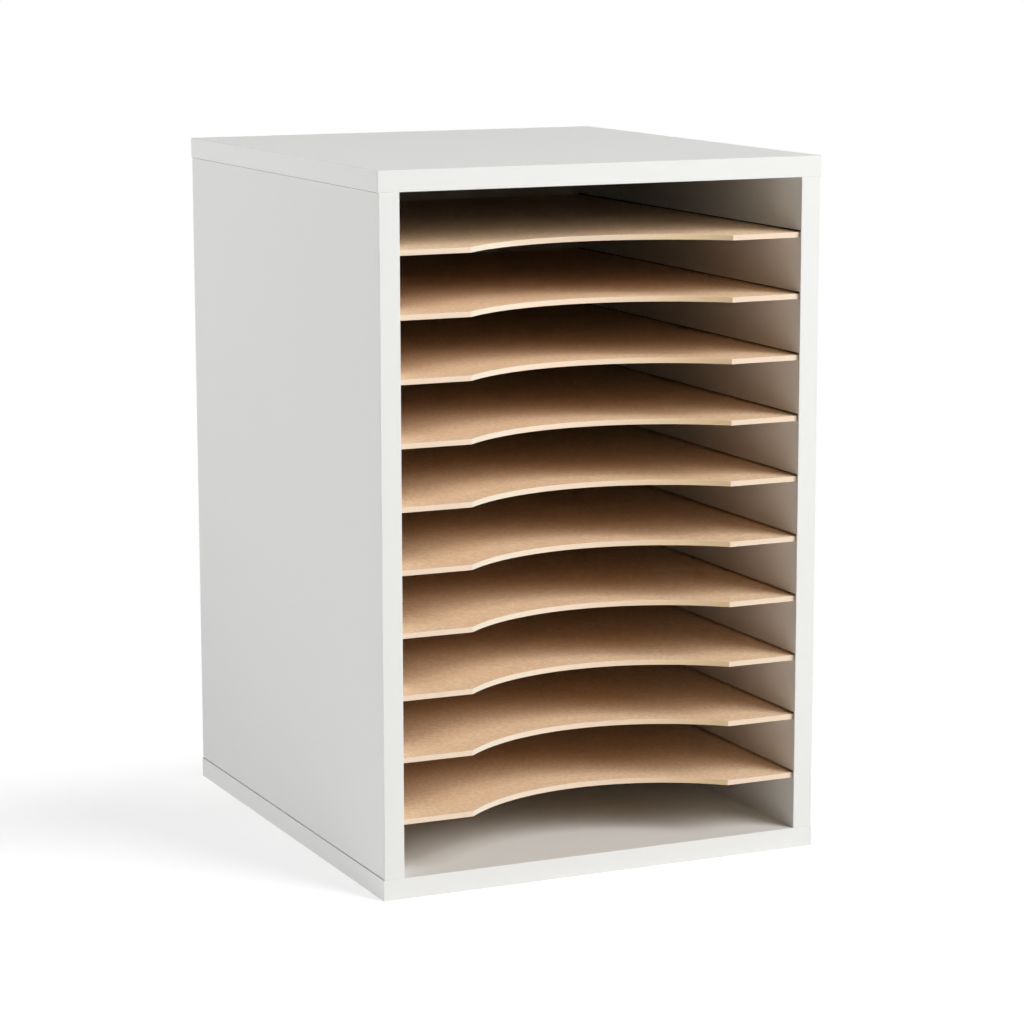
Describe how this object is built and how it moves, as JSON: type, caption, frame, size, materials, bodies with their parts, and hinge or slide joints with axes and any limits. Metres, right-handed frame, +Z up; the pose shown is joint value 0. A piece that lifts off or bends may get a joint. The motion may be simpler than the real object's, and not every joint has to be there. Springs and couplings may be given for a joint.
{
  "type": "literature organizer",
  "caption": "Open-fronted white case that sorts paper into flat compartments between thin raw-board shelves, each with a shallow arc cut out of its front edge for the fingers.",
  "frame": {"origin": "on the floor, under the middle of the case", "axes": "+Z up; the open front with the shelf edges faces -Y; +X is to the right as seen from the front"},
  "size_m": [0.273, 0.3048, 0.4064],
  "materials": {
    "white_board": "white melamine laminate on particle board, satin",
    "white_edging": "white edge strip, satin",
    "raw_shelf_board": "raw fibreboard, matt, pale brown with fine fibres",
    "back_board": "thin fibreboard, white face inwards, raw face outwards",
    "dowel_wood": "plain beech",
    "screw_steel": "zinc plated",
    "nail_steel": "bright steel"
  },
  "bodies": {
    "case": {"top_panel": "white_board", "bottom_panel": "white_board", "left_side_panel": "white_board", "right_side_panel": "white_board", "back_panel": "back_board", "top_front_edging": "white_edging", "bottom_front_edging": "white_edging", "left_front_edging": "white_edging", "right_front_edging": "white_edging", "top_left_edging": "white_edging", "top_right_edging": "white_edging", "bottom_left_edging": "white_edging", "bottom_right_edging": "white_edging", "top_dowels": "dowel_wood", "bottom_dowels": "dowel_wood", "bottom_screws": "screw_steel", "back_nails": "nail_steel"},
    "shelf_01": {"shelf_01": "raw_shelf_board"},
    "shelf_02": {"shelf_02": "raw_shelf_board"},
    "shelf_03": {"shelf_03": "raw_shelf_board"},
    "shelf_04": {"shelf_04": "raw_shelf_board"},
    "shelf_05": {"shelf_05": "raw_shelf_board"},
    "shelf_06": {"shelf_06": "raw_shelf_board"},
    "shelf_07": {"shelf_07": "raw_shelf_board"},
    "shelf_08": {"shelf_08": "raw_shelf_board"},
    "shelf_09": {"shelf_09": "raw_shelf_board"},
    "shelf_10": {"shelf_10": "raw_shelf_board"}
  },
  "joints": [
    {"name": "shelf_01_slack", "type": "slide", "parent": "case", "child": "shelf_01", "axis": [0, -1, 0], "range_m": [-0.0009, 0.0009]},
    {"name": "shelf_02_slack", "type": "slide", "parent": "case", "child": "shelf_02", "axis": [0, -1, 0], "range_m": [-0.0009, 0.0009]},
    {"name": "shelf_03_slack", "type": "slide", "parent": "case", "child": "shelf_03", "axis": [0, -1, 0], "range_m": [-0.0009, 0.0009]},
    {"name": "shelf_04_slack", "type": "slide", "parent": "case", "child": "shelf_04", "axis": [0, -1, 0], "range_m": [-0.0009, 0.0009]},
    {"name": "shelf_05_slack", "type": "slide", "parent": "case", "child": "shelf_05", "axis": [0, -1, 0], "range_m": [-0.0009, 0.0009]},
    {"name": "shelf_06_slack", "type": "slide", "parent": "case", "child": "shelf_06", "axis": [0, -1, 0], "range_m": [-0.0009, 0.0009]},
    {"name": "shelf_07_slack", "type": "slide", "parent": "case", "child": "shelf_07", "axis": [0, -1, 0], "range_m": [-0.0009, 0.0009]},
    {"name": "shelf_08_slack", "type": "slide", "parent": "case", "child": "shelf_08", "axis": [0, -1, 0], "range_m": [-0.0009, 0.0009]},
    {"name": "shelf_09_slack", "type": "slide", "parent": "case", "child": "shelf_09", "axis": [0, -1, 0], "range_m": [-0.0009, 0.0009]},
    {"name": "shelf_10_slack", "type": "slide", "parent": "case", "child": "shelf_10", "axis": [0, -1, 0], "range_m": [-0.0009, 0.0009]}
  ]
}
